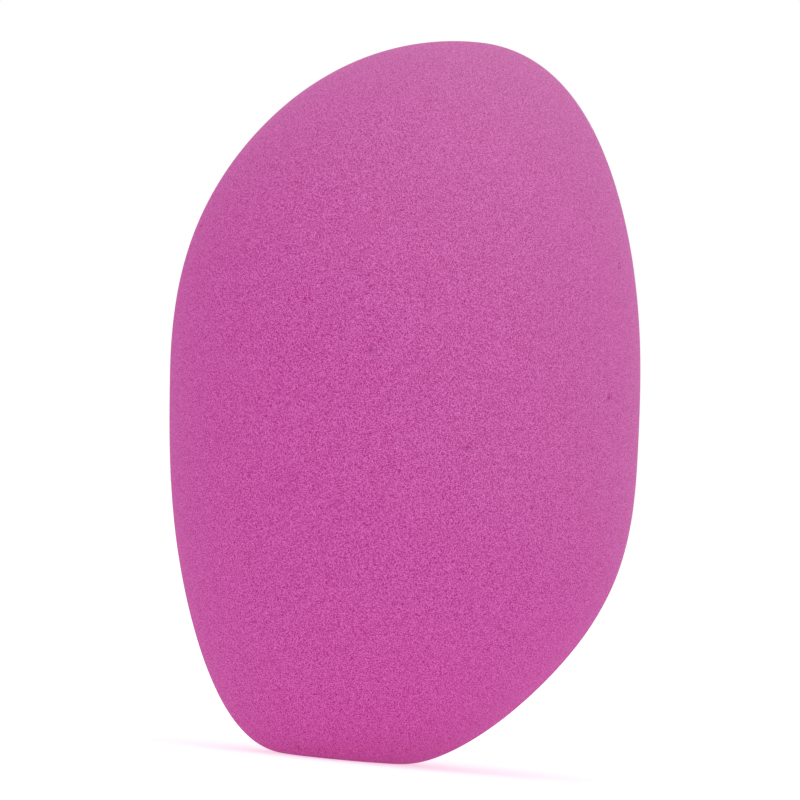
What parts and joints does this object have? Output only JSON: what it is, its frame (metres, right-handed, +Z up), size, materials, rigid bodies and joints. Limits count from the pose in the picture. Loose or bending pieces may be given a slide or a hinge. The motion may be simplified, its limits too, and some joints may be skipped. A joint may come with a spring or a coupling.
{
  "type": "makeup sponge",
  "caption": "Egg-shaped makeup sponge of soft pink foam that leans a little and stands on a small flat base, for pressing and blending makeup on the skin.",
  "frame": {"origin": "on the standing surface, under the middle of the sponge's width and depth", "axes": "+Z up from the flat base to the crown, +X towards the side that the crown leans to, -Y towards the face seen from the front"},
  "size_m": [0.0407, 0.0386, 0.062],
  "materials": {
    "skin_foam": "fine-celled moulded polyurethane foam, matte with a soft pale sheen at the rim",
    "core_foam": "open-celled polyurethane foam, matte, dyed through in the same pink"
  },
  "bodies": {
    "root": {"moulded_skin": "skin_foam", "foam_core": "core_foam"}
  },
  "joints": []
}
